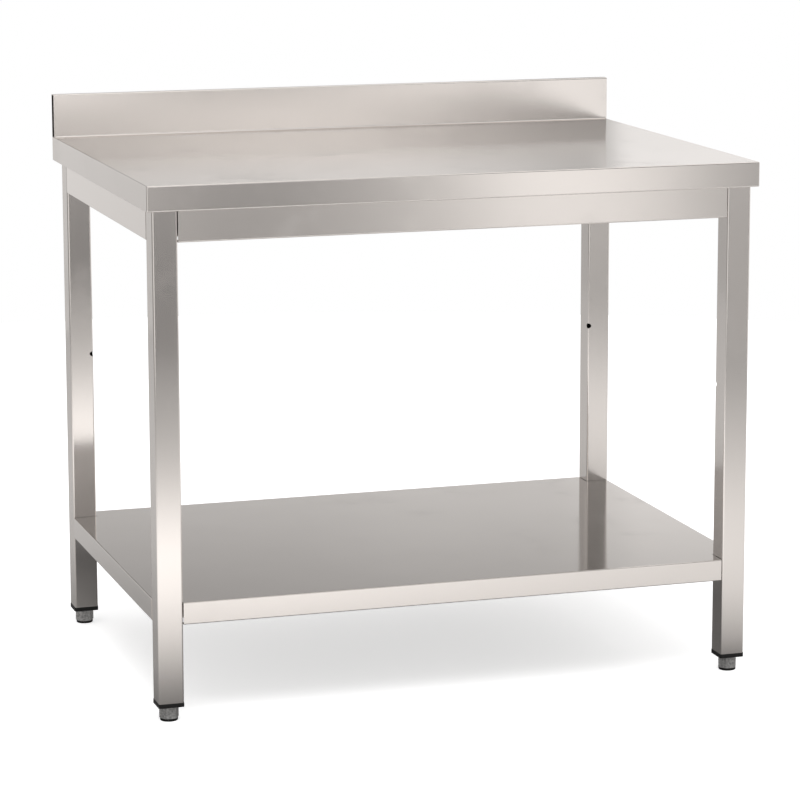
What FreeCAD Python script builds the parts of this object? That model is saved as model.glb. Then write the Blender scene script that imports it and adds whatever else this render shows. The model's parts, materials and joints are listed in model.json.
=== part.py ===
import FreeCAD, Part
import math
import os
import re
import Sketcher

# Stainless steel work table with an upstand and an undershelf.
# Millimetres. +X runs to the right, +Y to the rear, +Z up; the origin lies on the floor
# under the middle of the deck's outline.

# Driving dimensions, one named value each.
sizes = {
    # Tabletop: one folded sheet with a rear upstand that is open at both ends.
    "topWidth": 1000,
    "topDepth": 700,
    "deckHeight": 840,          # working surface above the floor, feet screwed home
    "topSheet": 1.2,
    "fasciaHeight": 40,
    "fasciaReturn": 8,
    "upstandHeight": 73,        # above the working surface
    "upstandDepth": 17,
    "foldRadius": 2,            # outside of the folds and the ground corners
    "hollowRadius": 3,          # hollow fold where the upstand leaves the deck
    "boardThickness": 18,       # laminated board that deadens the deck
    "boardGap": 1,
    # Legs: square tubes.
    "legSize": 40,
    "legWall": 1.2,
    "legRadius": 3,
    "legInsetSide": 10,
    "legInsetFront": 11,
    "legInsetRear": 24,
    # Frame under the top: four aprons and four corner brackets.
    "apronDrop": 89,            # working surface to the lower edge of the aprons
    "apronSheet": 1.2,
    "apronFlange": 22,
    "apronEndGap": 0.8,         # between an apron's end and the leg
    "frameBracketSheet": 2.5,
    "frameBracketMargin": 4,    # from the aprons' flanges
    "bracketFlange": 22,
    "bracketLegGap": 0.1,
    # Hat sections under the deck and the shelf.
    "hatCrown": 60,
    "hatBrim": 18,
    "hatHeight": 26,
    "hatSheet": 1.2,
    "hatEndGap": 3,
    # Fasteners: M8 bolts at the corners, screws into the board.
    "boltDiameter": 8,
    "boltClearance": 0.5,       # radial, in the leg, the brackets and the washers
    "boltHeadFlats": 13,
    "boltHeadHeight": 5.3,
    "boltLength": 16,
    "washerDiameter": 16,
    "washerThickness": 1.6,
    "frameBoltSpacing": 26,
    "midHoleDrop": 366,         # working surface to the spare holes at mid height
    "nutReach": 14,             # along each wall of the leg, from its inner corner
    "nutNose": 2.5,             # the same, at the clipped corner
    "nutHeight": 16,
    "screwDiameter": 4,
    "screwClearance": 0.25,     # radial, in the aprons and the stiffener
    "screwLength": 15,          # under the head
    "screwHeadDiameter": 8,
    "screwHeadHeight": 2.6,
    "screwEndMargin": 70,       # from an apron's end to its outer screws
    "hatScrewMargin": 60,       # from a hat section's end to its screws
    # Undershelf: one folded sheet, notched for the legs.
    "shelfHeight": 190,         # top of the shelf above the floor
    "shelfSheet": 1,
    "shelfFascia": 35,
    "shelfReturn": 12,
    "shelfFold": 1.6,
    "notchGap": 1,
    "shelfBracketSheet": 2,
    "shelfBracketMargin": 2,
    # Plug and adjustable foot at the lower end of each leg.
    "footHeight": 24,           # floor to the plug's flange, foot screwed home
    "plugFlange": 6.5,
    "plugOverhang": 0.5,        # flange past each side of the leg
    "plugDepth": 30,
    "plugWall": 2.5,
    "plugGap": 0.15,
    "plugRib": 2,
    "ribDrop": 6,
    "bossWall": 1.7,            # outside the nut's corners
    "bossClearance": 0.5,       # radial, round the stud
    "footNutFlats": 17,
    "footNutHeight": 8,
    "studDiameter": 10,
    "studClearance": 0.05,      # radial, in the nut and in the pad's socket
    "studSpare": 4,             # stands out above the nut when the foot is fully out
    "studChamfer": 1,
    "footTravel": 50,
    "footStopGap": 0.3,         # sleeve to flange, foot screwed home
    "sleeveFlats": 27,
    "sleeveChamfer": 1,
    "padDiameter": 28,
    "padThickness": 4,
    "padChamfer": 0.8,
    "padGap": 0.2,              # pad to sleeve, along the foot
    "socketFloor": 3,
    "spigotDiameter": 18,
    "spigotHeight": 8,
    "spigotClearance": 0.1,     # radial, in the sleeve
    "snapDepth": 0.6,           # bead of the spigot in the sleeve's groove
    "snapWidth": 2,
    "snapDrop": 4,
}

# Places and lengths that follow from the driving dimensions.
places = {
    "halfWidth": "topWidth / 2",
    "halfDepth": "topDepth / 2",
    "deckUnder": "deckHeight - topSheet",
    "fasciaFoot": "deckHeight - fasciaHeight",
    "upstandTop": "deckHeight + upstandHeight",
    "upstandFace": "halfDepth - upstandDepth",
    "boardUnder": "deckUnder - boardThickness",
    "boardSide": "halfWidth - topSheet - boardGap",
    "boardFront": "halfDepth - topSheet - boardGap",
    "frameSide": "halfWidth - legInsetSide",
    "frameFront": "halfDepth - legInsetFront",
    "frameRear": "halfDepth - legInsetRear",
    "frameDepth": "frameFront + frameRear",
    "frameMiddle": "(frameRear - frameFront) / 2",
    "halfLeg": "legSize / 2",
    "legBore": "halfLeg - legWall",
    "legSide": "frameSide - halfLeg",
    "legFront": "frameFront - halfLeg",
    "legRear": "frameRear - halfLeg",
    "legFoot": "footHeight + plugFlange",
    "apronFoot": "deckHeight - apronDrop",
    "frontApronLength": "2 * (frameSide - legSize - apronEndGap)",
    "sideApronLength": "frameDepth - 2 * (legSize + apronEndGap)",
    # Corner brackets: their leg side lies where x + y equals cornerReach, from the leg's axis.
    "cornerReach": "2 * halfLeg - legRadius * (2 - sqrt(2)) + bracketLegGap * sqrt(2)",
    "frameBoltMiddle": "(apronFoot + boardUnder) / 2",
    "frameBoltUpper": "frameBoltMiddle + frameBoltSpacing / 2",
    "frameBoltLower": "frameBoltMiddle - frameBoltSpacing / 2",
    "boltHoleRadius": "boltDiameter / 2 + boltClearance",
    "screwHoleRadius": "screwDiameter / 2 + screwClearance",
    "midHoleHeight": "deckHeight - midHoleDrop",
    "shelfUnder": "shelfHeight - shelfSheet",
    "shelfFoot": "shelfHeight - shelfFascia",
    "shelfBoltHeight": "(shelfUnder + shelfFoot + shelfSheet) / 2",
    "notchReach": "legSize + notchGap",
    "deckHatLength": "2 * (frameSide - apronFlange - hatEndGap)",
    "shelfHatLength": "2 * (frameSide - shelfReturn - hatEndGap)",
    "brimMiddle": "(hatCrown + hatBrim) / 2",
    "frontScrewReach": "frontApronLength / 2 - screwEndMargin",
    "sideScrewReach": "sideApronLength / 2 - screwEndMargin",
    "hatScrewReach": "deckHatLength / 2 - hatScrewMargin",
    "apronScrewInset": "(apronSheet + apronFlange) / 2",
    "screwTip": "boardUnder - apronSheet + screwLength",
    "plugReach": "legBore - plugGap",
    "plugTop": "legFoot + plugDepth",
    "bossRadius": "footNutFlats / sqrt(3) + bossWall",
    "footNutFoot": "plugTop - footNutHeight",
    "studTop": "plugTop + studSpare + footTravel",
    "studRadius": "studDiameter / 2",
    "studBore": "studRadius + studClearance",
    "sleeveFoot": "padThickness + padGap",
    "sleeveTop": "footHeight - footStopGap",
    "sleeveCorner": "sleeveFlats / sqrt(3)",
    "padRadius": "padDiameter / 2",
    "spigotRadius": "spigotDiameter / 2",
    "spigotTop": "padThickness + spigotHeight",
    "beadFoot": "spigotTop - snapDrop",
    "beadTop": "beadFoot + snapWidth",
}

doc = FreeCAD.newDocument("WorkTable")
sheet = doc.addObject("Spreadsheet::Sheet", "Sizes")
for row, (name, size) in enumerate(sizes.items(), start=1):
    cell = "B%d" % row
    sheet.set("A%d" % row, name)
    sheet.set(cell, str(size))
    sheet.setAlias(cell, name)
doc.recompute()

vector = FreeCAD.Vector
upwards = vector(0, 0, 1)
quarterTurn = math.pi / 2
subParts = []


def formula(text):
    """Write out a formula of named sizes and places for the document."""
    def replace(match):
        word = match.group(0)
        if word in sizes:
            return "Sizes." + word
        if word in places:
            return "(" + formula(places[word]) + ")"
        return word
    return re.sub(r"[A-Za-z]\w*", replace, text)


def measure(text):
    """Give the present value of a formula."""
    return float(sheet.evalExpression(formula(text)))


def bind(item, **formulas):
    """Tie properties of a document object to formulas."""
    for name, text in formulas.items():
        item.setExpression(name.replace("_", "."), formula(text))


def place(item, x="0", y="0", z="0", turn=0):
    """Put an object at a place that follows the sizes, turned about the vertical."""
    item.Placement = FreeCAD.Placement(vector(0, 0, 0), FreeCAD.Rotation(upwards, turn))
    bind(item, Placement_Base_x=x, Placement_Base_y=y, Placement_Base_z=z)


def newBody(label):
    body = doc.addObject("PartDesign::Body", label)
    body.Label = label
    return body


def keep(item):
    """List an object as a sub-part that is written out."""
    subParts.append(item)
    return item


def newSketch(body, name, plane, offset="0", turn=None):
    """Start a sketch on an origin plane, moved along the plane's normal."""
    sketch = body.newObject("Sketcher::SketchObject", name)
    support = next(item for item in body.Origin.OriginFeatures if item.Role == plane)
    sketch.AttachmentSupport = (support, [""])
    sketch.MapMode = "FlatFace"
    if turn is not None:
        sketch.AttachmentOffset = FreeCAD.Placement(vector(0, 0, 0), turn)
    sketch.setExpression("AttachmentOffset.Base.z", formula(offset))
    return sketch


def pin(sketch, kind, element, point, text, name):
    """Hold one coordinate of a sketch point at a formula's value."""
    number = sketch.addConstraint(Sketcher.Constraint(kind, -1, 1, element, point, measure(text)))
    sketch.renameConstraint(number, name)
    sketch.setExpression("Constraints." + name, formula(text))


def outline(sketch, corners):
    """Draw a closed outline through corners that are pairs of formulas."""
    first = sketch.GeometryCount
    points = [vector(measure(x), measure(y), 0) for x, y in corners]
    count = len(points)
    for index in range(count):
        sketch.addGeometry(Part.LineSegment(points[index], points[(index + 1) % count]))
    for index in range(count):
        following = first + (index + 1) % count
        sketch.addConstraint(Sketcher.Constraint("Coincident", first + index, 2, following, 1))
    for index, (x, y) in enumerate(corners):
        pin(sketch, "DistanceX", first + index, 1, x, "x%d" % (first + index))
        pin(sketch, "DistanceY", first + index, 1, y, "y%d" % (first + index))


def rectangle(sketch, left, right, low, high):
    outline(sketch, [(left, low), (right, low), (right, high), (left, high)])


def square(sketch, reach):
    rectangle(sketch, "-" + reach, reach, "-" + reach, reach)


def circle(sketch, x, y, radius):
    number = sketch.addGeometry(Part.Circle(vector(measure(x), measure(y), 0), upwards, measure(radius)))
    pin(sketch, "DistanceX", number, 3, x, "x%d" % number)
    pin(sketch, "DistanceY", number, 3, y, "y%d" % number)
    size = sketch.addConstraint(Sketcher.Constraint("Radius", number, measure(radius)))
    sketch.renameConstraint(size, "radius%d" % number)
    sketch.setExpression("Constraints.radius%d" % number, formula(radius))


def hexagon(sketch, corner):
    """Draw a hexagon, flats up and down, from the formula of its corner radius."""
    half = corner + " / 2"
    flat = corner + " * sqrt(3) / 2"
    outline(sketch, [(corner, "0"), (half, flat), ("-" + half, flat),
                     ("-" + corner, "0"), ("-" + half, "-" + flat), (half, "-" + flat)])


def coveCorner(sketch, right, foot, radius):
    """Draw a corner filled by a hollow arc, with the corner at its lower right."""
    left, top = "%s - %s" % (right, radius), "%s + %s" % (foot, radius)
    corners = [(left, foot), (right, foot), (right, top)]
    points = [vector(measure(x), measure(y), 0) for x, y in corners]
    centre = vector(measure(left), measure(top), 0)
    sketch.addGeometry(Part.LineSegment(points[0], points[1]))
    sketch.addGeometry(Part.LineSegment(points[1], points[2]))
    disc = Part.Circle(centre, upwards, measure(radius))
    sketch.addGeometry(Part.ArcOfCircle(disc, -quarterTurn, 0))
    sketch.addConstraint(Sketcher.Constraint("Coincident", 0, 2, 1, 1))
    sketch.addConstraint(Sketcher.Constraint("Coincident", 2, 1, 0, 1))
    sketch.addConstraint(Sketcher.Constraint("Coincident", 2, 2, 1, 2))
    for element, point, (x, y) in ((0, 1, corners[0]), (0, 2, corners[1]), (1, 2, corners[2])):
        pin(sketch, "DistanceX", element, point, x, "x%d%d" % (element, point))
        pin(sketch, "DistanceY", element, point, y, "y%d%d" % (element, point))
    pin(sketch, "DistanceX", 2, 3, left, "centre")


def extrude(body, kind, sketch, length):
    """Pad or pocket a sketch along its normal."""
    feature = body.newObject("PartDesign::" + kind, body.Name + kind)
    feature.Profile = sketch
    feature.Type = "Length"
    bind(feature, Length=length)
    feature.Reversed = kind == "Pocket"
    return feature


def turnAbout(body, kind, sketch):
    """Revolve or groove a sketch about its own upright axis."""
    feature = body.newObject("PartDesign::" + kind, body.Name + kind)
    feature.Profile = sketch
    feature.ReferenceAxis = (sketch, ["V_Axis"])
    feature.Angle = 360
    return feature


def roundEdges(body, base, radius, chosen):
    """Round the straight edges of a feature whose two ends satisfy a test."""
    doc.recompute()
    names = []
    for index, edge in enumerate(base.Shape.Edges, start=1):
        ends = [vertex.Point for vertex in edge.Vertexes]
        straight = len(ends) == 2 and near(edge.Length, ends[0].distanceToPoint(ends[1]))
        if straight and chosen(ends[0], ends[1]):
            names.append("Edge%d" % index)
    fillet = body.newObject("PartDesign::Fillet", body.Name + "Fold")
    fillet.Base = (base, names)
    bind(fillet, Radius=radius)
    return fillet


def near(first, second):
    return abs(first - second) < 0.01


def isUpright(first, second):
    return near(first.x, second.x) and near(first.y, second.y)


# Tabletop

def buildTabletop():
    body = newBody("tabletop")
    slab = newSketch(body, "TopOutline", "XY_Plane", "fasciaFoot")
    rectangle(slab, "-halfWidth", "halfWidth", "-halfDepth", "halfDepth")
    solid = extrude(body, "Pad", slab, "fasciaHeight")
    front, deck, foot = measure("halfDepth"), measure("deckHeight"), measure("fasciaFoot")

    def onSlabFold(first, second):
        alongTop = near(first.z, deck) and near(second.z, deck)
        alongFoot = near(first.z, foot) and near(second.z, foot)
        atRear = near(first.y, front) and near(second.y, front)
        atCorner = near(first.y, -front) and near(second.y, -front) and near(first.x, second.x)
        return alongTop and not atRear or alongFoot or atCorner

    roundEdges(body, solid, "foldRadius", onSlabFold)
    ridge = newSketch(body, "UpstandOutline", "XY_Plane", "deckHeight - foldRadius")
    rectangle(ridge, "-halfWidth", "halfWidth", "upstandFace", "halfDepth")
    solid = extrude(body, "Pad", ridge, "foldRadius + upstandHeight")
    top = measure("upstandTop")

    def onTopFold(first, second):
        return near(first.z, top) and near(second.z, top) and near(first.y, second.y)

    roundEdges(body, solid, "foldRadius", onTopFold)
    cove = newSketch(body, "HollowFold", "YZ_Plane", "-halfWidth + foldRadius")
    coveCorner(cove, "upstandFace", "deckHeight", "hollowRadius")
    extrude(body, "Pad", cove, "topWidth - 2 * foldRadius")
    # The open underside, inside the return flanges.
    mouth = newSketch(body, "UndersideMouth", "XY_Plane", "fasciaFoot")
    rectangle(mouth, "-halfWidth + fasciaReturn", "halfWidth - fasciaReturn",
              "-halfDepth + fasciaReturn", "halfDepth - fasciaReturn")
    extrude(body, "Pocket", mouth, "topSheet")
    hollow = newSketch(body, "UndersideHollow", "XY_Plane", "fasciaFoot + topSheet")
    rectangle(hollow, "-halfWidth + topSheet", "halfWidth - topSheet",
              "-halfDepth + topSheet", "halfDepth - topSheet")
    extrude(body, "Pocket", hollow, "fasciaHeight - 2 * topSheet")
    # The upstand's hollow, joined to the underside and open at both ends.
    throat = newSketch(body, "UpstandThroat", "XY_Plane", "fasciaFoot + topSheet")
    rectangle(throat, "-halfWidth + topSheet", "halfWidth - topSheet",
              "upstandFace + topSheet", "halfDepth - topSheet")
    extrude(body, "Pocket", throat, "fasciaHeight + upstandHeight - 2 * topSheet")
    ends = newSketch(body, "UpstandEnds", "YZ_Plane", "-halfWidth")
    rectangle(ends, "upstandFace + topSheet", "halfDepth - topSheet", "deckHeight", "upstandTop - topSheet")
    extrude(body, "Pocket", ends, "topWidth")
    return keep(body)


def screwPlaces():
    """List the screws under the deck as pairs of formulas."""
    spots = []
    for y in ("-frameFront + apronScrewInset", "frameRear - apronScrewInset"):
        for x in ("-frontScrewReach", "0", "frontScrewReach"):
            spots.append((x, y))
    for x in ("-frameSide + apronScrewInset", "frameSide - apronScrewInset"):
        for y in ("frameMiddle - sideScrewReach", "frameMiddle + sideScrewReach"):
            spots.append((x, y))
    for y in ("frameMiddle - brimMiddle", "frameMiddle + brimMiddle"):
        for x in ("-hatScrewReach", "hatScrewReach"):
            spots.append((x, y))
    return spots


def buildBoard():
    body = newBody("core_board")
    slab = newSketch(body, "BoardOutline", "XY_Plane", "boardUnder")
    rectangle(slab, "-boardSide", "boardSide", "-boardFront", "upstandFace")
    extrude(body, "Pad", slab, "boardThickness")
    holes = newSketch(body, "BoardHoles", "XY_Plane", "boardUnder")
    for x, y in screwPlaces():
        circle(holes, x, y, "screwDiameter / 2")
    extrude(body, "Pocket", holes, "screwTip - boardUnder")
    return keep(body)


def buildHat(label, seat, length, screwed):
    """A hat section that hangs open side up under a sheet, along X."""
    body = newBody(label)
    half = "hatCrown / 2"
    profile = newSketch(body, "HatProfile", "YZ_Plane", "-(%s) / 2" % length)
    floor = seat + " - hatHeight"
    outline(profile, [
        ("-%s - hatBrim" % half, seat),
        ("-%s - hatBrim" % half, seat + " - hatSheet"),
        ("-" + half, seat + " - hatSheet"),
        ("-" + half, floor),
        (half, floor),
        (half, seat + " - hatSheet"),
        (half + " + hatBrim", seat + " - hatSheet"),
        (half + " + hatBrim", seat),
        (half + " - hatSheet", seat),
        (half + " - hatSheet", floor + " + hatSheet"),
        ("-%s + hatSheet" % half, floor + " + hatSheet"),
        ("-%s + hatSheet" % half, seat),
    ])
    extrude(body, "Pad", profile, length)
    if screwed:
        holes = newSketch(body, "HatHoles", "XY_Plane", seat + " - hatSheet")
        for y in ("-brimMiddle", "brimMiddle"):
            for x in ("-hatScrewReach", "hatScrewReach"):
                circle(holes, x, y, "screwHoleRadius")
        extrude(body, "Pocket", holes, "hatSheet")
    place(body, y="frameMiddle")
    return keep(body)


# Frame under the top

def buildApron(label, length, screwSpots, x, y, turn):
    """A channel with its web outwards, drawn along X and turned to its side of the frame."""
    body = newBody(label)
    profile = newSketch(body, "ApronProfile", "YZ_Plane", "-%s / 2" % length)
    outline(profile, [
        ("0", "apronFoot"),
        ("apronFlange", "apronFoot"),
        ("apronFlange", "apronFoot + apronSheet"),
        ("apronSheet", "apronFoot + apronSheet"),
        ("apronSheet", "boardUnder - apronSheet"),
        ("apronFlange", "boardUnder - apronSheet"),
        ("apronFlange", "boardUnder"),
        ("0", "boardUnder"),
    ])
    solid = extrude(body, "Pad", profile, length)
    low, high = measure("apronFoot"), measure("boardUnder")

    def onFold(first, second):
        onFace = near(first.y, 0) and near(second.y, 0)
        return onFace and near(first.z, second.z) and (near(first.z, low) or near(first.z, high))

    roundEdges(body, solid, "foldRadius", onFold)
    holes = newSketch(body, "ApronHoles", "XY_Plane", "boardUnder - apronSheet")
    for spot in screwSpots:
        circle(holes, spot, "apronScrewInset", "screwHoleRadius")
    extrude(body, "Pocket", holes, "apronSheet")
    place(body, x, y, turn=turn)
    return keep(body)


def cornerPlaces():
    """Give each corner's name, the leg's place and the turn of the pieces around it."""
    return [
        ("front_left", "-legSide", "-legFront", 0),
        ("front_right", "legSide", "-legFront", 90),
        ("rear_right", "legSide", "legRear", 180),
        ("rear_left", "-legSide", "legRear", 270),
    ]


def diagonal(turn):
    return FreeCAD.Rotation(vector(0, 1, 0), turn)


def buildBracket(label, bracketSheet, wallSheet, low, high, boltHeights, corner):
    """A corner plate set at 45 degrees, with a flange along the sheet on either side of the leg.

    It is drawn about the leg's axis, with the table's middle towards +X and +Y.
    """
    body = newBody(label)
    name, x, y, turn = corner
    wall = "(-halfLeg + %s)" % wallSheet
    lining = "(%s + %s)" % (wall, bracketSheet)
    start = "(cornerReach - %s)" % wall
    finish = "(cornerReach + %s * sqrt(2) - %s)" % (bracketSheet, lining)
    tip = "(%s + bracketFlange)" % start
    plan = newSketch(body, "BracketPlan", "XY_Plane", low)
    outline(plan, [(start, wall), (tip, wall), (tip, lining), (finish, lining),
                   (lining, finish), (lining, tip), (wall, tip), (wall, start)])
    extrude(body, "Pad", plan, "%s - (%s)" % (high, low))
    holes = newSketch(body, "BracketHoles", "YZ_Plane", turn=diagonal(45))
    for height in boltHeights:
        circle(holes, "0", height, "boltHoleRadius")
    extrude(body, "Pocket", holes, "legSize * 2")
    place(body, x, y, turn=turn)
    return keep(body)


# Legs

def buildLeg(corner):
    body = newBody("leg_" + corner[0])
    section = newSketch(body, "LegSection", "XY_Plane", "legFoot")
    square(section, "halfLeg")
    solid = extrude(body, "Pad", section, "boardUnder - legFoot")
    roundEdges(body, solid, "legRadius", isUpright)
    bore = newSketch(body, "LegBore", "XY_Plane", "legFoot")
    square(bore, "legBore")
    solid = extrude(body, "Pocket", bore, "boardUnder - legFoot")
    inner = measure("legBore")

    def isInside(first, second):
        return isUpright(first, second) and near(abs(first.x), inner) and near(abs(first.y), inner)

    roundEdges(body, solid, "legRadius - legWall", isInside)
    holes = newSketch(body, "LegHoles", "YZ_Plane", turn=diagonal(45))
    for height in ("frameBoltUpper", "frameBoltLower", "midHoleHeight", "shelfBoltHeight"):
        circle(holes, "0", height, "boltHoleRadius")
    extrude(body, "Pocket", holes, "legSize")
    place(body, corner[1], corner[2], turn=corner[3])
    return keep(body)


def buildGroup(label, spots, master):
    """Copy one piece to several places, as separate solids under one name."""
    copies = []
    for number, (x, y, z, turn) in enumerate(spots):
        copy = doc.addObject("App::Link", "%sCopy%d" % (label, number))
        copy.LinkedObject = master
        place(copy, x, y, z, turn)
        copies.append(copy)
    group = doc.addObject("Part::Compound", label)
    group.Label = label
    group.Links = copies
    return keep(group)


def cornerSpots(heights, extraTurn=0):
    """List a place about each leg's axis at each height, turned towards the table's middle."""
    return [(x, y, height, turn + extraTurn) for name, x, y, turn in cornerPlaces() for height in heights]


def buildNutBlock(name, height, threads):
    """A clamping nut that seats in the leg's inner corner, about height zero."""
    body = newBody(name)
    plan = newSketch(body, "NutPlan", "XY_Plane", "-(%s) / 2" % height)
    outline(plan, [("legBore - nutNose", "legBore"), ("legBore - nutReach", "legBore"),
                   ("legBore", "legBore - nutReach"), ("legBore", "legBore - nutNose")])
    extrude(body, "Pad", plan, height)
    bores = newSketch(body, "NutThreads", "YZ_Plane", turn=diagonal(45))
    for thread in threads:
        circle(bores, "0", thread, "boltDiameter / 2")
    extrude(body, "Pocket", bores, "legSize")
    return body


def buildWasher(name, bracketSheet):
    """A washer against a corner bracket, drawn along X with the leg's axis at zero."""
    body = newBody(name)
    ring = newSketch(body, "WasherRing", "YZ_Plane", "cornerReach / sqrt(2) + " + bracketSheet)
    circle(ring, "0", "0", "washerDiameter / 2")
    circle(ring, "0", "0", "boltHoleRadius")
    extrude(body, "Pad", ring, "washerThickness")
    return body


def buildBolt(name, bracketSheet):
    """A hexagon bolt through washer, bracket and leg wall, drawn as its washer is."""
    body = newBody(name)
    seat = "cornerReach / sqrt(2) + %s + washerThickness" % bracketSheet
    head = newSketch(body, "BoltHead", "YZ_Plane", seat)
    hexagon(head, "boltHeadFlats / sqrt(3)")
    extrude(body, "Pad", head, "boltHeadHeight")
    shank = newSketch(body, "BoltShank", "YZ_Plane", seat + " - boltLength")
    circle(shank, "0", "0", "boltDiameter / 2")
    extrude(body, "Pad", shank, "boltLength")
    return body


def buildScrew(name):
    """A pan head screw that points up, its head's bearing face at height zero."""
    body = newBody(name)
    profile = newSketch(body, "ScrewProfile", "XZ_Plane")
    outline(profile, [
        ("0", "-screwHeadHeight"),
        ("screwHeadDiameter / 2 - screwHeadHeight / 2", "-screwHeadHeight"),
        ("screwHeadDiameter / 2", "-screwHeadHeight / 2"),
        ("screwHeadDiameter / 2", "0"),
        ("screwDiameter / 2", "0"),
        ("screwDiameter / 2", "screwLength"),
        ("0", "screwLength"),
    ])
    turnAbout(body, "Revolution", profile)
    return body


# Undershelf

def buildShelf():
    body = newBody("undershelf")
    slab = newSketch(body, "ShelfOutline", "XY_Plane", "shelfFoot")
    rectangle(slab, "-frameSide", "frameSide", "-frameFront", "frameRear")
    solid = extrude(body, "Pad", slab, "shelfFascia")

    def onShelfFold(first, second):
        return near(first.z, second.z)

    roundEdges(body, solid, "shelfFold", onShelfFold)
    notches = newSketch(body, "LegNotches", "XY_Plane", "shelfFoot")
    for left, right in (("-frameSide", "-frameSide + notchReach"), ("frameSide - notchReach", "frameSide")):
        rectangle(notches, left, right, "-frameFront", "-frameFront + notchReach")
        rectangle(notches, left, right, "frameRear - notchReach", "frameRear")
    extrude(body, "Pocket", notches, "shelfFascia")
    mouth = newSketch(body, "ShelfMouth", "XY_Plane", "shelfFoot")
    rectangle(mouth, "-frameSide + shelfReturn", "frameSide - shelfReturn",
              "-frameFront + shelfReturn", "frameRear - shelfReturn")
    extrude(body, "Pocket", mouth, "shelfSheet")
    hollow = newSketch(body, "ShelfHollow", "XY_Plane", "shelfFoot + shelfSheet")
    rectangle(hollow, "-frameSide + shelfSheet", "frameSide - shelfSheet",
              "-frameFront + shelfSheet", "frameRear - shelfSheet")
    extrude(body, "Pocket", hollow, "shelfFascia - 2 * shelfSheet")
    return keep(body)


# Feet

def buildPlug(corner):
    """A moulded plug with a flange under the leg, a ribbed skirt inside it and a boss for the nut."""
    body = newBody("leg_plug_" + corner[0])
    flange = newSketch(body, "PlugFlange", "XY_Plane", "footHeight")
    square(flange, "(halfLeg + plugOverhang)")
    solid = extrude(body, "Pad", flange, "plugFlange")
    roundEdges(body, solid, "legRadius", isUpright)
    skirt = newSketch(body, "PlugSkirt", "XY_Plane", "legFoot")
    square(skirt, "plugReach")
    solid = extrude(body, "Pad", skirt, "plugDepth")
    outside = measure("plugReach")

    def onSkirt(first, second):
        return isUpright(first, second) and near(abs(first.x), outside) and near(abs(first.y), outside)

    roundEdges(body, solid, "legRadius - legWall", onSkirt)
    core = newSketch(body, "PlugHollow", "XY_Plane", "legFoot")
    square(core, "(plugReach - plugWall)")
    extrude(body, "Pocket", core, "plugDepth")
    boss = newSketch(body, "PlugBoss", "XY_Plane", "legFoot")
    circle(boss, "0", "0", "bossRadius")
    extrude(body, "Pad", boss, "plugDepth")
    reach, half = "(plugReach - plugWall / 2)", "(plugRib / 2)"
    for length, width in ((reach, half), (half, reach)):
        rib = newSketch(body, "PlugRib", "XY_Plane", "legFoot")
        rectangle(rib, "-" + length, length, "-" + width, width)
        extrude(body, "Pad", rib, "plugDepth - ribDrop")
    bore = newSketch(body, "PlugBore", "XY_Plane", "footHeight")
    circle(bore, "0", "0", "studRadius + bossClearance")
    extrude(body, "Pocket", bore, "plugFlange + plugDepth")
    seat = newSketch(body, "NutSeat", "XY_Plane", "footNutFoot")
    hexagon(seat, "footNutFlats / sqrt(3)")
    extrude(body, "Pocket", seat, "footNutHeight")
    place(body, corner[1], corner[2], turn=corner[3])
    return keep(body)


def buildFootNut(name):
    body = newBody(name)
    blank = newSketch(body, "NutBlank", "XY_Plane", "footNutFoot")
    hexagon(blank, "footNutFlats / sqrt(3)")
    extrude(body, "Pad", blank, "footNutHeight")
    bore = newSketch(body, "NutBore", "XY_Plane", "footNutFoot")
    circle(bore, "0", "0", "studBore")
    extrude(body, "Pocket", bore, "footNutHeight")
    return body


def buildPad(corner):
    """The foot's gliding pad: a disc with a snap-in spigot and a socket for the stud's end."""
    body = newBody("foot_pad_" + corner[0])
    profile = newSketch(body, "PadProfile", "XZ_Plane")
    outline(profile, [
        ("0", "0"),
        ("padRadius - padChamfer", "0"),
        ("padRadius", "padChamfer"),
        ("padRadius", "padThickness"),
        ("spigotRadius", "padThickness"),
        ("spigotRadius", "beadFoot"),
        ("spigotRadius + snapDepth", "beadFoot"),
        ("spigotRadius + snapDepth", "beadTop"),
        ("spigotRadius", "beadTop"),
        ("spigotRadius", "spigotTop"),
        ("studBore", "spigotTop"),
        ("studBore", "socketFloor"),
        ("0", "socketFloor"),
    ])
    turnAbout(body, "Revolution", profile)
    place(body, corner[1], corner[2])
    return keep(body)


def buildSleeve(corner):
    """The hexagonal sleeve that is gripped to turn the foot, fixed to the stud."""
    body = newBody("foot_sleeve_" + corner[0])
    blank = newSketch(body, "SleeveBlank", "XY_Plane", "sleeveFoot")
    hexagon(blank, "sleeveCorner")
    extrude(body, "Pad", blank, "sleeveTop - sleeveFoot")
    # Turned chamfers take off the hexagon's corners at both ends.
    turned = newSketch(body, "SleeveChamfers", "XZ_Plane")
    outline(turned, [("sleeveCorner - sleeveChamfer", "sleeveTop"),
                     ("sleeveCorner + sleeveChamfer", "sleeveTop"),
                     ("sleeveCorner + sleeveChamfer", "sleeveTop - 2 * sleeveChamfer")])
    outline(turned, [("sleeveCorner - sleeveChamfer", "sleeveFoot"),
                     ("sleeveCorner + sleeveChamfer", "sleeveFoot"),
                     ("sleeveCorner + sleeveChamfer", "sleeveFoot + 2 * sleeveChamfer")])
    turnAbout(body, "Groove", turned)
    bore = newSketch(body, "SleeveBore", "XZ_Plane")
    wide = "spigotRadius + spigotClearance"
    outline(bore, [
        ("0", "sleeveFoot"),
        (wide, "sleeveFoot"),
        (wide, "beadFoot - spigotClearance"),
        (wide + " + snapDepth", "beadFoot - spigotClearance"),
        (wide + " + snapDepth", "beadTop + spigotClearance"),
        (wide, "beadTop + spigotClearance"),
        (wide, "spigotTop + padGap"),
        ("studRadius", "spigotTop + padGap"),
        ("studRadius", "sleeveTop"),
        ("0", "sleeveTop"),
    ])
    turnAbout(body, "Groove", bore)
    place(body, corner[1], corner[2])
    return keep(body)


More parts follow.
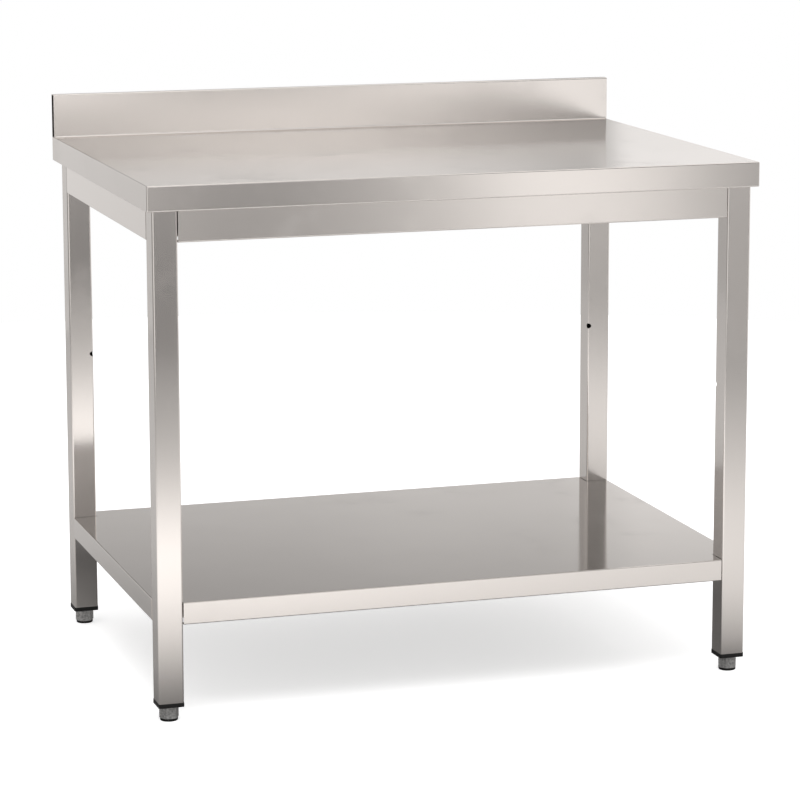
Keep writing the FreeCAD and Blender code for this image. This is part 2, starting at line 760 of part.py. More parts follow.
def buildStud(corner):
    body = newBody("foot_stud_" + corner[0])
    profile = newSketch(body, "StudProfile", "XZ_Plane")
    outline(profile, [
        ("0", "socketFloor"),
        ("studRadius - studChamfer", "socketFloor"),
        ("studRadius", "socketFloor + studChamfer"),
        ("studRadius", "studTop - studChamfer"),
        ("studRadius - studChamfer", "studTop"),
        ("0", "studTop"),
    ])
    turnAbout(body, "Revolution", profile)
    place(body, corner[1], corner[2])
    return keep(body)


buildTabletop()
buildBoard()
buildHat("deck_stiffener", "boardUnder", "deckHatLength", True)

frontSpots = ["-frontScrewReach", "0", "frontScrewReach"]
sideSpots = ["-sideScrewReach", "sideScrewReach"]
buildApron("apron_front", "frontApronLength", frontSpots, "0", "-frameFront", 0)
buildApron("apron_right", "sideApronLength", sideSpots, "frameSide", "frameMiddle", 90)
buildApron("apron_rear", "frontApronLength", frontSpots, "0", "frameRear", 180)
buildApron("apron_left", "sideApronLength", sideSpots, "-frameSide", "frameMiddle", 270)

screwSpots = [(x, y, "boardUnder - apronSheet", 0) for x, y in screwPlaces()]
buildGroup("frame_screws", screwSpots, buildScrew("screwPattern"))

frameBolts = ["frameBoltUpper", "frameBoltLower"]
shelfBolts = ["shelfBoltHeight"]
for corner in cornerPlaces():
    buildBracket("frame_bracket_" + corner[0], "frameBracketSheet", "apronSheet",
                 "apronFoot + apronSheet + frameBracketMargin",
                 "boardUnder - apronSheet - frameBracketMargin", frameBolts, corner)
    buildBracket("shelf_bracket_" + corner[0], "shelfBracketSheet", "shelfSheet",
                 "shelfFoot + shelfSheet + shelfBracketMargin",
                 "shelfUnder - shelfBracketMargin", shelfBolts, corner)
    buildLeg(corner)
    buildPlug(corner)
    buildPad(corner)
    buildSleeve(corner)
    buildStud(corner)

frameSpots = cornerSpots(frameBolts, 45)
shelfSpots = cornerSpots(shelfBolts, 45)
buildGroup("frame_bolts", frameSpots, buildBolt("frameBoltPattern", "frameBracketSheet"))
buildGroup("frame_washers", frameSpots, buildWasher("frameWasherPattern", "frameBracketSheet"))
threads = ["-frameBoltSpacing / 2", "frameBoltSpacing / 2"]
frameNut = buildNutBlock("frameNutPattern", "(frameBoltSpacing + nutHeight)", threads)
buildGroup("frame_nut_blocks", cornerSpots(["frameBoltMiddle"]), frameNut)
buildGroup("shelf_bolts", shelfSpots, buildBolt("shelfBoltPattern", "shelfBracketSheet"))
buildGroup("shelf_washers", shelfSpots, buildWasher("shelfWasherPattern", "shelfBracketSheet"))
shelfNut = buildNutBlock("shelfNutPattern", "nutHeight", ["0"])
buildGroup("shelf_nut_blocks", cornerSpots(shelfBolts), shelfNut)
buildGroup("foot_nuts", cornerSpots(["0"]), buildFootNut("footNutPattern"))

buildShelf()
buildHat("shelf_stiffener", "shelfUnder", "shelfHatLength", False)

doc.recompute()
for item in doc.Objects:
    if "Invalid" in item.State or "Error" in item.State:
        raise RuntimeError("%s could not be built" % item.Label)

os.makedirs("parts", exist_ok=True)
for item in subParts:
    shape = item.Shape
    if shape.isNull() or not shape.isValid():
        raise RuntimeError("%s has no sound shape" % item.Label)
    shape.exportStep("parts/%s.step" % item.Label)
    box = shape.BoundBox
    print("%-28s %2d solids %12.1f mm3  x %8.2f %8.2f  y %8.2f %8.2f  z %7.2f %7.2f" % (
        item.Label, len(shape.Solids), shape.Volume,
        box.XMin, box.XMax, box.YMin, box.YMax, box.ZMin, box.ZMax))
print("%d sub-parts" % len(subParts))
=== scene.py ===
import json
import math
import bpy
from mathutils import Matrix, Vector


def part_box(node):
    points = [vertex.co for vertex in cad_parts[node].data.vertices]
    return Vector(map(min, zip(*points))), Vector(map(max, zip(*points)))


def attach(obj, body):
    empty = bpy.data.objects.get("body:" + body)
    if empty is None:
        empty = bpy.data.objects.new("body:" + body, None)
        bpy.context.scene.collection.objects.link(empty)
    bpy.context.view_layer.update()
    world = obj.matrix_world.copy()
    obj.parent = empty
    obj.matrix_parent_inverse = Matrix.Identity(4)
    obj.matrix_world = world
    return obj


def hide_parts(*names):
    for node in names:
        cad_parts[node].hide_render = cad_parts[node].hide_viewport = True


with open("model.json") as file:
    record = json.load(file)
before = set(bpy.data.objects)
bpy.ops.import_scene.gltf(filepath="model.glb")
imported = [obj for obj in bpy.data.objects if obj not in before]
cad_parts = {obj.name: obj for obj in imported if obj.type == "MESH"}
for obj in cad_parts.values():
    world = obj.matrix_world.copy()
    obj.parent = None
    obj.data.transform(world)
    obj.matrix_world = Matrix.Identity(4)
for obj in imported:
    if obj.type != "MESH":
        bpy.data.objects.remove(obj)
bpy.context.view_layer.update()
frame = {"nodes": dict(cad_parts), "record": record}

# Stainless work table: finishes, threaded rods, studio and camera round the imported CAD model.
# Lengths are in metres.

nodes = frame["nodes"]
corners = ("front_left", "front_right", "rear_right", "rear_left")


# Node helpers

def feed(tree, socket, value):
    if isinstance(value, bpy.types.NodeSocket):
        tree.links.new(value, socket)
    elif value is not None:
        socket.default_value = value


def feedAll(tree, node, inputs):
    for name, value in inputs.items():
        feed(tree, node.inputs[name.replace("_", " ")], value)


def addNode(tree, kind, **inputs):
    node = tree.nodes.new(kind)
    feedAll(tree, node, inputs)
    return node


def useGroup(tree, group, **inputs):
    node = tree.nodes.new("ShaderNodeGroup")
    node.node_tree = group
    feedAll(tree, node, inputs)
    return node.outputs


def maths(tree, operation, first, second=None, clamp=False):
    node = tree.nodes.new("ShaderNodeMath")
    node.operation, node.use_clamp = operation, clamp
    feed(tree, node.inputs[0], first)
    feed(tree, node.inputs[1], second)
    return node.outputs[0]


def vectorMaths(tree, operation, first, second=None):
    node = tree.nodes.new("ShaderNodeVectorMath")
    node.operation = operation
    feed(tree, node.inputs[0], first)
    feed(tree, node.inputs[1], second)
    return node


def rise(tree, value, limits):
    # 0 up to the first limit, 1 from the second on, and even in between.
    low, high = limits
    return addNode(tree, "ShaderNodeMapRange", Value=value, From_Min=low, From_Max=high).outputs[0]


def ramp(tree, value, stops, shape="LINEAR"):
    # Tones of grey by value, from a list of (value, tone) in rising order.
    low, high = stops[0][0], stops[-1][0]
    node = addNode(tree, "ShaderNodeValToRGB", Fac=rise(tree, value, (low, high)))
    bar = node.color_ramp
    bar.interpolation = shape
    while len(bar.elements) < len(stops):
        bar.elements.new(0.5)
    for element, (place, tone) in zip(bar.elements, stops):
        element.position = (place - low) / (high - low)
        element.color = (tone, tone, tone, 1)
    return node.outputs["Color"]


def blend(tree, share, first, second):
    node = tree.nodes.new("ShaderNodeMix")
    node.data_type = "RGBA"
    for index, value in ((0, share), (6, first), (7, second)):   # factor, A and B of a colour mix
        feed(tree, node.inputs[index], value)
    return node.outputs[2]


def newGroup(name, ins, outs):
    group = bpy.data.node_groups.new(name, "ShaderNodeTree")
    for label, kind, value in ins:
        socket = group.interface.new_socket(
            name=label, in_out="INPUT", socket_type="NodeSocket" + kind)
        socket.default_value = value
    for label, kind in outs:
        group.interface.new_socket(name=label, in_out="OUTPUT", socket_type="NodeSocket" + kind)
    taken = group.nodes.new("NodeGroupInput").outputs
    given = group.nodes.new("NodeGroupOutput").inputs
    return group, taken, given


# Effects shared by several finishes

brushing = {
    "lineDetail": 3.0, "lineRoughness": 0.6,
    "cloudScale": 3.2, "cloudDetail": 2.0,
    "roughnessSwing": 0.8,     # how far the roughness follows the tone
    "leastRoughness": 0.02,
}


def buildBrushedGrain():
    # Fine lines along the rolling direction, with a faint cloud of tone behind them.
    group, ins, outs = newGroup(
        "brushedGrain",
        (("Lines", "Vector", (0, 0, 0)), ("Place", "Vector", (0, 0, 0)),
         ("Steel Colour", "Color", (0.7, 0.68, 0.65, 1)), ("Base Roughness", "Float", 0.2),
         ("Line Contrast", "Float", 0.04), ("Cloud Contrast", "Float", 0.03)),
        (("Colour", "Color"), ("Roughness", "Float"), ("Height", "Float")))
    lines = addNode(group, "ShaderNodeTexNoise", Vector=ins["Lines"], Scale=1.0,
                    Detail=brushing["lineDetail"], Roughness=brushing["lineRoughness"])
    cloud = addNode(group, "ShaderNodeTexNoise", Vector=ins["Place"],
                    Scale=brushing["cloudScale"], Detail=brushing["cloudDetail"])
    lineSwing = maths(group, "SUBTRACT", lines.outputs["Fac"], 0.5)
    cloudSwing = maths(group, "SUBTRACT", cloud.outputs["Fac"], 0.5)
    tone = maths(group, "ADD", maths(group, "MULTIPLY", lineSwing, ins["Line Contrast"]),
                 maths(group, "MULTIPLY", cloudSwing, ins["Cloud Contrast"]))
    bright = vectorMaths(group, "SCALE", ins["Steel Colour"])
    group.links.new(maths(group, "ADD", tone, 1.0), bright.inputs["Scale"])
    group.links.new(bright.outputs[0], outs["Colour"])
    rough = maths(group, "ADD", ins["Base Roughness"],
                  maths(group, "MULTIPLY", tone, brushing["roughnessSwing"]))
    group.links.new(maths(group, "MAXIMUM", rough, brushing["leastRoughness"]), outs["Roughness"])
    group.links.new(lines.outputs["Fac"], outs["Height"])
    return group


def buildSheetWaves():
    # Slow waves of rolled and folded sheet, which bend the reflections a little.
    group, ins, outs = newGroup(
        "sheetWaves", (("Place", "Vector", (0, 0, 0)), ("Wave Height", "Float", 1.0)),
        (("Height", "Float"),))
    wave = addNode(group, "ShaderNodeTexNoise", Vector=ins["Place"], Scale=1.0, Detail=1.0)
    group.links.new(maths(group, "MULTIPLY", wave.outputs["Fac"], ins["Wave Height"]), outs["Height"])
    return group


wiping = {
    "patchScale": 9.0, "patchDetail": 4.0, "patchRoughness": 0.7,
    "patchTones": [(0, 0), (0.52, 0), (0.7, 1), (1, 1)],
}


def buildHandling():
    # Wiping marks and faint fingerprints: patches where the surface is a little duller.
    group, ins, outs = newGroup(
        "handling", (("Place", "Vector", (0, 0, 0)), ("Marks", "Float", 0.03)),
        (("Dullness", "Float"),))
    patch = addNode(group, "ShaderNodeTexNoise", Vector=ins["Place"], Scale=wiping["patchScale"],
                    Detail=wiping["patchDetail"], Roughness=wiping["patchRoughness"])
    spots = ramp(group, patch.outputs["Fac"], wiping["patchTones"], "EASE")
    group.links.new(maths(group, "MULTIPLY", spots, ins["Marks"]), outs["Dullness"])
    return group


def buildMouldGrain():
    # Fine grain of moulded plastic and of the skin of cast metal.
    group, ins, outs = newGroup(
        "mouldGrain",
        (("Place", "Vector", (0, 0, 0)), ("Grain Scale", "Float", 1800.0),
         ("Body Colour", "Color", (0, 0, 0, 1)), ("Fleck Colour", "Color", (0.1, 0.1, 0.1, 1)),
         ("Fleck Share", "Float", 0.3)),
        (("Colour", "Color"), ("Height", "Float")))
    grain = addNode(group, "ShaderNodeTexNoise", Vector=ins["Place"], Scale=ins["Grain Scale"],
                    Detail=2.0)
    share = maths(group, "MULTIPLY", grain.outputs["Fac"], ins["Fleck Share"], clamp=True)
    flecked = blend(group, share, ins["Body Colour"], ins["Fleck Colour"])
    group.links.new(flecked, outs["Colour"])
    group.links.new(grain.outputs["Fac"], outs["Height"])
    return group


brushedGrain, sheetWaves = buildBrushedGrain(), buildSheetWaves()
handling, mouldGrain = buildHandling(), buildMouldGrain()


def newFinish(name):
    material = bpy.data.materials.new(name)
    material.use_nodes = True
    tree = material.node_tree
    tree.nodes.clear()
    shader = tree.nodes.new("ShaderNodeBsdfPrincipled")
    output = tree.nodes.new("ShaderNodeOutputMaterial")
    tree.links.new(shader.outputs[0], output.inputs["Surface"])
    place = tree.nodes.new("ShaderNodeTexCoord").outputs["Object"]
    return material, tree, shader.inputs, place


# Finishes of the sheets, tubes and fasteners

steel = {
    "colour": (0.80, 0.761, 0.731), "roughness": 0.16, "anisotropy": 0.9,
    "grain": (1, 0, 0),
    "spare": (0, 0, 1),          # grain of the faces that the first direction meets end on
    "endOn": 0.7,                # how squarely it has to meet them
    "linesAcross": 2600, "lineLength": 14,
    "lineContrast": 0.05, "cloudContrast": 0.03,
    "lineDepth": 0.08, "lineHeight": 0.00002,
    "marks": 0.02, "waves": (5, 5, 2), "waveHeight": 0.0001,
}


def acrossGrain(tree, look):
    # The direction in the surface at right angles to the grain, along which brushed steel spreads light.
    normal = tree.nodes.new("ShaderNodeNewGeometry").outputs["True Normal"]
    along = vectorMaths(tree, "DOT_PRODUCT", normal, look["grain"]).outputs["Value"]
    endOn = maths(tree, "GREATER_THAN", maths(tree, "ABSOLUTE", along), look["endOn"])
    axis = blend(tree, endOn, (*look["grain"], 1), (*look["spare"], 1))
    return vectorMaths(tree, "CROSS_PRODUCT", normal, axis).outputs[0]


def steelFinish(name, **changes):
    look = dict(steel, **changes)
    material, tree, shader, place = newFinish(name)
    stretch = [look["lineLength"] if step else look["linesAcross"] for step in look["grain"]]
    lines = addNode(tree, "ShaderNodeMapping", Vector=place, Scale=stretch).outputs[0]
    grained = useGroup(tree, brushedGrain, Lines=lines, Place=place,
                       Steel_Colour=(*look["colour"], 1), Base_Roughness=look["roughness"],
                       Line_Contrast=look["lineContrast"], Cloud_Contrast=look["cloudContrast"])
    marks = useGroup(tree, handling, Place=place, Marks=look["marks"])
    stretched = addNode(tree, "ShaderNodeMapping", Vector=place, Scale=look["waves"]).outputs[0]
    wave = useGroup(tree, sheetWaves, Place=stretched, Wave_Height=1.0)
    tree.links.new(grained["Colour"], shader["Base Color"])
    tree.links.new(maths(tree, "ADD", grained["Roughness"], marks["Dullness"]), shader["Roughness"])
    slow = addNode(tree, "ShaderNodeBump", Height=wave["Height"], Strength=1.0,
                   Distance=look["waveHeight"])
    fine = addNode(tree, "ShaderNodeBump", Height=grained["Height"], Strength=look["lineDepth"],
                   Distance=look["lineHeight"], Normal=slow.outputs[0])
    tree.links.new(fine.outputs[0], shader["Normal"])
    tree.links.new(acrossGrain(tree, look), shader["Tangent"])
    shader["Metallic"].default_value = 1
    shader["Anisotropic"].default_value = look["anisotropy"]
    return material


finishes = {
    "top_sheet": steelFinish("brushedTop", roughness=0.14),
    "shelf_sheet": steelFinish("brushedShelf", roughness=0.11),
    "frame_sheet": steelFinish("brushedFrame"),
    "leg_tube": steelFinish("brushedTube", grain=(0, 0, 1), spare=(1, 0, 0)),
    "hidden_sheet": steelFinish("millSheet", colour=(0.66, 0.65, 0.63), roughness=0.32),
    "bracket_sheet": steelFinish(
        "millPlate", colour=(0.62, 0.61, 0.59), roughness=0.36, grain=(0, 0, 1), spare=(1, 0, 0)),
    "fastener": steelFinish(
        "brightFastener", colour=(0.66, 0.65, 0.62), roughness=0.28, anisotropy=0.2,
        linesAcross=5000),
    "thread_metal": steelFinish(
        "platedThread", colour=(0.66, 0.66, 0.64), roughness=0.26, anisotropy=0.0,
        linesAcross=5000),
}
sideFrame = steelFinish("brushedSideFrame", grain=(0, 1, 0), spare=(0, 0, 1))
print("steel finishes made")


# Finishes of the plastic, cast and laminated pieces

plastic = {
    "body": (0.002, 0.002, 0.002), "fleck": (0.008, 0.008, 0.008), "fleckShare": 0.8,
    "grainScale": 2200, "roughness": 0.55, "marks": 0.1,
    "bump": 0.5, "grainDepth": 0.00004, "metallic": 0,
}
castMetal = {
    "body": (0.12, 0.12, 0.12), "fleck": (1.0, 0.99, 0.97), "fleckShare": 1.0,
    "grainScale": 300, "roughness": 0.3, "marks": 0.12,
    "bump": 0.7, "grainDepth": 0.0002, "metallic": 0.6,
}
laminate = {
    "body": (0.62, 0.6, 0.56), "fleck": (0.78, 0.77, 0.73), "fleckShare": 0.9,
    "grainScale": 1400, "roughness": 0.5, "marks": 0.08,
    "bump": 0.25, "grainDepth": 0.00003, "metallic": 0,
}


def grainedFinish(name, look):
    material, tree, shader, place = newFinish(name)
    grained = useGroup(tree, mouldGrain, Place=place, Grain_Scale=look["grainScale"],
                       Body_Colour=(*look["body"], 1), Fleck_Colour=(*look["fleck"], 1),
                       Fleck_Share=look["fleckShare"])
    worn = useGroup(tree, handling, Place=place, Marks=look["marks"])
    tree.links.new(grained["Colour"], shader["Base Color"])
    tree.links.new(maths(tree, "ADD", worn["Dullness"], look["roughness"]), shader["Roughness"])
    bump = addNode(tree, "ShaderNodeBump", Height=grained["Height"], Strength=look["bump"],
                   Distance=look["grainDepth"])
    tree.links.new(bump.outputs[0], shader["Normal"])
    shader["Metallic"].default_value = look["metallic"]
    return material


finishes["plug_plastic"] = grainedFinish("mouldedPlug", plastic)
finishes["pad_plastic"] = grainedFinish("mouldedPad", dict(plastic, roughness=0.5))
finishes["foot_metal"] = grainedFinish("castSleeve", castMetal)
finishes["board"] = grainedFinish("laminatedBoard", laminate)

slotOf = {part["node"]: part["material_slot"] for part in frame["record"]["subparts"]}
for name, item in nodes.items():
    for slot in item.material_slots:
        slot.material = finishes[slotOf[name]]
for name in ("apron_left", "apron_right"):
    for slot in nodes[name].material_slots:
        slot.material = sideFrame
print("finishes placed on", len(nodes), "CAD nodes")


# Threaded rods of the feet, with a right-handed M10 thread

rod = {
    "pitch": 0.0015,
    "rootDepth": 0.00092,
    "flatLength": 0.00019,   # along the crest and along the root
    "leadIn": 0.0008,        # height of the tapered tip
    "tipTaper": 0.82,
    "stepsPerTurn": 32,
    "sharpAngle": 25,        # degrees, steeper edges stay sharp
    "weldGap": 1e-6,
    "cutGap": 1e-7,
}


def drawTooth(root, start):
    # One tooth as a chain of edges, drawn from a single point.
    flank = (rod["pitch"] - 2 * rod["flatLength"]) / 2
    bpy.ops.object.mode_set(mode="EDIT")
    bpy.ops.mesh.select_all(action="SELECT")
    bpy.ops.mesh.merge(type="CENTER")
    bpy.ops.transform.translate(value=(root, 0, start))
    for step in ((0, 0, rod["flatLength"]), (rod["rootDepth"], 0, flank),
                 (0, 0, rod["flatLength"]), (-rod["rootDepth"], 0, flank)):
        bpy.ops.mesh.extrude_region_move(TRANSFORM_OT_translate={"value": step})
    bpy.ops.object.mode_set(mode="OBJECT")


def buildThreadedRod(name, low, high):
    bpy.ops.object.select_all(action="DESELECT")
    bpy.ops.mesh.primitive_plane_add(size=0.001, location=(0, 0, 0))
    piece = bpy.context.active_object
    piece.name = piece.data.name = name
    drawTooth((high.x - low.x) / 2 - rod["rootDepth"], low.z - rod["pitch"])
    # The tooth is wound up the rod, past both ends, and the ends are cut off square.
    bpy.ops.object.modifier_add(type="SCREW")
    winding = piece.modifiers[-1]
    winding.steps = winding.render_steps = rod["stepsPerTurn"]
    winding.screw_offset = rod["pitch"]
    winding.iterations = math.ceil((high.z - low.z) / rod["pitch"]) + 2
    bpy.ops.object.modifier_apply(modifier=winding.name)
    bpy.ops.object.mode_set(mode="EDIT")
    bpy.ops.mesh.select_all(action="SELECT")
    bpy.ops.mesh.remove_doubles(threshold=rod["weldGap"])
    for height, normal in ((low.z, (0, 0, -1)), (high.z - rod["leadIn"], (0, 0, 1))):
        bpy.ops.mesh.select_all(action="SELECT")
        bpy.ops.mesh.bisect(plane_co=(0, 0, height), plane_no=normal, clear_outer=True,
                            use_fill=True, threshold=rod["cutGap"])
    # The filled upper end is drawn up and in to a tapered tip.
    bpy.ops.mesh.extrude_region_move(TRANSFORM_OT_translate={"value": (0, 0, rod["leadIn"])})
    bpy.ops.transform.resize(value=(rod["tipTaper"], rod["tipTaper"], 1),
                             center_override=(0, 0, high.z))
    bpy.ops.mesh.select_all(action="SELECT")
    bpy.ops.mesh.normals_make_consistent(inside=False)
    bpy.ops.object.mode_set(mode="OBJECT")
    bpy.ops.object.shade_smooth_by_angle(angle=math.radians(rod["sharpAngle"]))
    return piece


def placeRods():
    low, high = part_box("foot_stud_" + corners[0])
    first = buildThreadedRod("threaded_rod", low, high)
    for corner in corners:
        low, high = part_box("foot_stud_" + corner)
        bpy.ops.object.select_all(action="DESELECT")
        first.select_set(True)
        bpy.context.view_layer.objects.active = first
        bpy.ops.object.duplicate(linked=False)
        piece = bpy.context.active_object
        piece.name = piece.data.name = "threaded_rod_" + corner
        middle = ((low.x + high.x) / 2, (low.y + high.y) / 2, 0)
        piece.data.transform(Matrix.Translation(middle))
        piece.data.materials.clear()
        piece.data.materials.append(finishes["thread_metal"])
        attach(piece, "foot_screw_" + corner)
        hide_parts("foot_stud_" + corner)
    bpy.data.objects.remove(first)


placeRods()
print("threaded rods wound")


# Studio: pale floor, soft lamps and a dome that only reflections and the camera see

studio = {
    "fill": 0.72,                      # even light on matt surfaces
    "roomTint": (1.01, 0.99, 0.975),   # warmth of all that is mirrored
    "lamps": (                         # name, power, size, place, target
        ("keySoftbox", 60, 2.2, (-0.6, -1.4, 2.9), (0, -0.2, 0.4)),
        ("sideSoftbox", 14, 1.4, (2.6, -0.4, 1.8), (0, 0, 0.5)),
    ),
}

# The dome's brightness. Bearings are in degrees, with 0 straight behind the table, 90 to the right,
# 180 ahead and -90 to the left. Heights are in degrees over the horizon.
dome = {
    # Ahead
    "room": [(-180, 0.9), (-150, 1.0), (-125, 0.5), (-95, 0.18), (-60, 0.5), (0, 0.8), (95, 0.8),
             (150, 0.6)],
    "farFloor": [(150, 0.1), (156.4, 0.25), (157.8, 0.9), (158.6, 1.25), (160, 1.15), (160.9, 0.8),
                 (161.8, 0.32), (163.5, 0.16), (172, 0.12), (180, 0.3)],
    "backWall": [(150, 0.6), (156.4, 0.75), (157.8, 0.95), (159, 0.85), (160, 1.2), (161.8, 1.45),
                 (163.2, 1.0), (164.6, 0.55), (166, 0.5), (167, 0.85), (168.5, 1.6), (172, 1.2),
                 (180, 0.9)],
    "upperWall": [(150, 0.4), (159, 0.5), (160, 0.62), (161.8, 1.05), (163.4, 1.4), (165.2, 1.45),
                  (167, 1.15), (168.5, 0.9), (172, 0.9), (180, 0.9)],
    "ceiling": [(6, 1.0), (8, 1.2), (10, 1.15), (11.2, 0.12), (20, 0.12), (30, 0.6), (45, 1.5)],
    "openCeiling": [(-90, 1.0), (20, 1.0), (45, 1.3), (90, 1.5)],
    "ceilingSpan": [(-180, 1), (-172, 1), (-160, 0), (140, 0), (152, 1), (180, 1)],
    "overFloor": (-7, -4.5),     # heights between which the far floor gives way to the wall
    "overWall": (-1, 4),         # and the wall to its upper part
    "wallEdge": (145, 150),      # bearings between which the room gives way to the wall
    # Behind
    "behindRoom": [(-180, 0.9), (-90, 0.3), (-60, 0.5), (0, 1.0), (60, 1.2), (95, 0.8), (180, 0.8)],
    "lowWall": [(-30, 0.5), (-23, 0.5), (-17, 0.66), (-13.4, 0.86), (-11, 0.95), (18, 0.95),
                (19.5, 0.75), (20.6, 0.42), (21, 0.38), (21.2, 1.15), (30, 1.15)],
    "highWall": [(-30, 0.5), (-23, 0.5), (-13, 0.8), (12, 0.76), (15.6, 0.81), (17.4, 0.88),
                 (19.2, 0.9), (20.2, 0.95), (21.2, 1.15), (30, 1.12)],
    "behindRise": [(-30, 0.6), (-8, 0.8), (-4, 0.95), (8, 0.9), (12.4, 1.12), (13.4, 0.54),
                   (14.5, 0.26), (16, 0.22), (40, 0.3), (60, 1.4)],
    "openRise": [(-30, 0.6), (-8, 0.8), (-4, 0.95), (8, 0.9), (30, 0.85), (60, 1.3)],
    "wallSpan": [(-40, 0), (-27, 1), (27, 1), (40, 0)],
    "overDeck": (9, 11),         # heights between which the low wall gives way to the high one
    "rearEdge": (-0.25, 0.25),   # share of the direction that points behind
}


def buildDome():
    world = bpy.data.worlds.new("studioDome")
    bpy.context.scene.world = world
    world.use_nodes = True
    tree = world.node_tree
    tree.nodes.clear()
    seenAlong = tree.nodes.new("ShaderNodeTexCoord").outputs["Generated"]
    toRight, toRear, up = addNode(tree, "ShaderNodeSeparateXYZ", Vector=seenAlong).outputs
    height = maths(tree, "MULTIPLY", maths(tree, "ARCSINE", up), 180 / math.pi)
    bearing = maths(tree, "MULTIPLY", maths(tree, "ARCTAN2", toRight, toRear), 180 / math.pi)

    # Ahead, the wall stands over a darker far floor and under a dark ceiling with a bright panel overhead.
    room = ramp(tree, bearing, dome["room"])
    farFloor = ramp(tree, bearing, dome["farFloor"])
    backWall = ramp(tree, bearing, dome["backWall"])
    upperWall = ramp(tree, bearing, dome["upperWall"])
    lowerPart = blend(tree, rise(tree, height, dome["overFloor"]), farFloor, backWall)
    walls = blend(tree, rise(tree, height, dome["overWall"]), lowerPart, upperWall)
    walls = blend(tree, rise(tree, bearing, dome["wallEdge"]), room, walls)
    ceiling = ramp(tree, height, dome["ceiling"])
    openCeiling = ramp(tree, height, dome["openCeiling"])
    overhead = blend(tree, ramp(tree, bearing, dome["ceilingSpan"]), openCeiling, ceiling)
    ahead = vectorMaths(tree, "MULTIPLY", walls, overhead).outputs[0]

    # Behind, a pale wall darkens upwards as the shelf and the deck mirror it.
    behindRoom = ramp(tree, bearing, dome["behindRoom"])
    lowWall = ramp(tree, bearing, dome["lowWall"])
    highWall = ramp(tree, bearing, dome["highWall"])
    behindWall = blend(tree, rise(tree, height, dome["overDeck"]), lowWall, highWall)
    behindRise = ramp(tree, height, dome["behindRise"])
    openRise = ramp(tree, height, dome["openRise"])
    wallSpan = ramp(tree, bearing, dome["wallSpan"])
    behind = vectorMaths(tree, "MULTIPLY", blend(tree, wallSpan, behindRoom, behindWall),
                         blend(tree, wallSpan, openRise, behindRise)).outputs[0]

    mirroredRoom = blend(tree, rise(tree, toRear, dome["rearEdge"]), ahead, behind)
    mirroredRoom = vectorMaths(tree, "MULTIPLY", mirroredRoom, studio["roomTint"]).outputs[0]
    path = tree.nodes.new("ShaderNodeLightPath").outputs
    mirrored = maths(tree, "MAXIMUM", path["Is Glossy Ray"], path["Is Transmission Ray"])
    lit = blend(tree, mirrored, (studio["fill"],) * 3 + (1,), mirroredRoom)
    seen = blend(tree, path["Is Camera Ray"], lit, (1, 1, 1, 1))
    background = addNode(tree, "ShaderNodeBackground", Color=seen, Strength=1.0)
    output = tree.nodes.new("ShaderNodeOutputWorld")
    tree.links.new(background.outputs[0], output.inputs["Surface"])


# Painted light and shade of the mirrored floor by distance from the table's outline: a painted pool of
# light with painted shadow under the table
floorLook = {
    "radius": 3.4,
    "sides": 96,
    "white": (0.9, 0.9, 0.9, 1),
    "lift": 0.55,                  # share of the floor's white that takes no shadow
    "mirroredLift": 0.05,
    "underTable": (0.5, 0.35, 0),  # half of the table's outline
    "paintedFrontPool": [(0, 0.08), (0.08, 0.16), (0.2, 0.28), (0.34, 0.46), (0.53, 0.68), (0.8, 0.9),
                  (1.1, 0.98), (1.4, 0.8), (1.8, 0.54), (2.2, 0.42), (2.7, 0.34), (3.4, 0.24)],
    "paintedRightPool": [(0, 0.08), (0.08, 0.2), (0.2, 0.4), (0.34, 0.5), (0.53, 0.6), (0.8, 0.66),
                  (1.1, 0.68), (1.4, 0.64), (1.8, 0.56), (2.2, 0.5), (2.7, 0.42), (3.4, 0.36)],
    "paintedRearPool": [(0, 0.3), (0.2, 0.36), (0.53, 0.48), (1.1, 0.56), (1.8, 0.58), (3.4, 0.58)],
    "toRight": (-0.1, 0.9),        # where the front pool gives way to the right one
    "toRear": (-0.4, 0.0),         # and both to the rear one
}


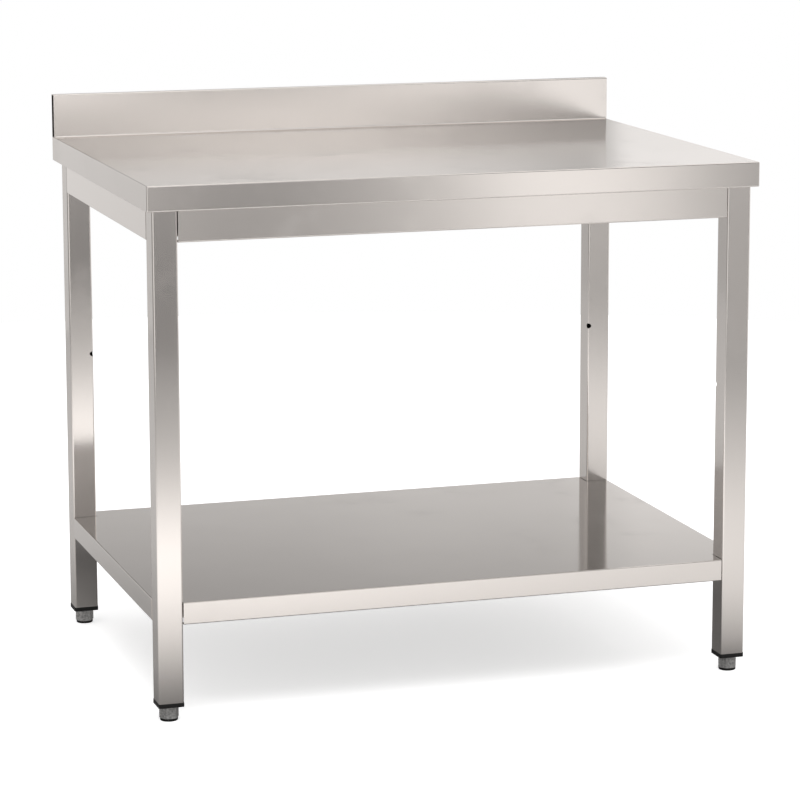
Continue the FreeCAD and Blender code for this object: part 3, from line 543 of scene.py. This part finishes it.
def buildFloor():
    bpy.ops.object.select_all(action="DESELECT")
    bpy.ops.mesh.primitive_circle_add(vertices=floorLook["sides"], radius=floorLook["radius"],
                                      fill_type="NGON", location=(0, 0, 0))
    floor = bpy.context.active_object
    floor.name = "studioFloor"
    material = bpy.data.materials.new("paleFloor")
    material.use_nodes = True
    tree = material.node_tree
    tree.nodes.clear()
    place = tree.nodes.new("ShaderNodeTexCoord").outputs["Object"]

    # In reflections the floor's colour carries a painted pool of light, with painted shadow under the
    # table, fading towards the room.
    fromMiddle = vectorMaths(tree, "ABSOLUTE", place).outputs[0]
    past = vectorMaths(tree, "SUBTRACT", fromMiddle, floorLook["underTable"])
    outside = vectorMaths(tree, "MAXIMUM", past.outputs[0], (0, 0, 0))
    away = vectorMaths(tree, "LENGTH", outside.outputs[0]).outputs["Value"]
    paintedFrontPool = ramp(tree, away, floorLook["paintedFrontPool"])
    paintedRightPool = ramp(tree, away, floorLook["paintedRightPool"])
    paintedRearPool = ramp(tree, away, floorLook["paintedRearPool"])
    spot = addNode(tree, "ShaderNodeSeparateXYZ", Vector=place).outputs
    toRight = rise(tree, spot[0], floorLook["toRight"])
    toRear = rise(tree, spot[1], floorLook["toRear"])
    paintedPool = blend(tree, toRear, blend(tree, toRight, paintedFrontPool, paintedRightPool), paintedRearPool)
    paintedPool = vectorMaths(tree, "MULTIPLY", paintedPool, studio["roomTint"]).outputs[0]

    # The camera sees a plain white floor with the table's shadow.
    path = tree.nodes.new("ShaderNodeLightPath").outputs
    camera = path["Is Camera Ray"]
    # Reflections see the painted pool and painted shadow as the floor's colour, while the camera sees
    # plain white.
    matt = addNode(tree, "ShaderNodeBsdfDiffuse", Color=blend(tree, camera, paintedPool, floorLook["white"]))
    mirrored = maths(tree, "MAXIMUM", path["Is Glossy Ray"], path["Is Transmission Ray"])
    lift = maths(tree, "ADD", maths(tree, "MULTIPLY", camera, floorLook["lift"]),
                 maths(tree, "MULTIPLY", mirrored, floorLook["mirroredLift"]))
    glow = addNode(tree, "ShaderNodeEmission", Strength=lift)
    both = tree.nodes.new("ShaderNodeAddShader")
    tree.links.new(matt.outputs[0], both.inputs[0])
    tree.links.new(glow.outputs[0], both.inputs[1])

    # Seen from underneath the floor is clear.
    below = tree.nodes.new("ShaderNodeNewGeometry").outputs["Backfacing"]
    clear = tree.nodes.new("ShaderNodeBsdfTransparent")
    face = tree.nodes.new("ShaderNodeMixShader")
    tree.links.new(below, face.inputs[0])
    tree.links.new(both.outputs[0], face.inputs[1])
    tree.links.new(clear.outputs[0], face.inputs[2])
    output = tree.nodes.new("ShaderNodeOutputMaterial")
    tree.links.new(face.outputs[0], output.inputs["Surface"])
    floor.data.materials.append(material)


def addLamp(name, power, size, place, target):
    lamp = bpy.data.lights.new(name, "AREA")
    lamp.energy, lamp.size, lamp.shape = power, size, "SQUARE"
    holder = bpy.data.objects.new(name, lamp)
    bpy.context.scene.collection.objects.link(holder)
    holder.location = place
    holder.rotation_euler = (Vector(target) - Vector(place)).to_track_quat("-Z", "Y").to_euler()
    holder.visible_camera, holder.visible_glossy = False, False


buildDome()
buildFloor()
for lampSettings in studio["lamps"]:
    addLamp(*lampSettings)
print("studio built")


# Camera at the photograph's viewing angle

view = {
    "sensor": 36, "lens": 148.19, "shift": -0.05, "farClip": 60,
    "location": (-1.60666, -5.14892, 1.46603),
    "angles": (79.711, 0, -18.119),   # degrees
}

cameraData = bpy.data.cameras.new("tableCamera")
cameraData.sensor_width, cameraData.lens = view["sensor"], view["lens"]
cameraData.shift_x = cameraData.shift_y = view["shift"]
cameraData.clip_end = view["farClip"]
cameraHolder = bpy.data.objects.new("tableCamera", cameraData)
bpy.context.scene.collection.objects.link(cameraHolder)
cameraHolder.location = view["location"]
cameraHolder.rotation_euler = [math.radians(angle) for angle in view["angles"]]
bpy.context.scene.camera = cameraHolder
bpy.context.scene.view_settings.view_transform = "Standard"
print("camera placed")
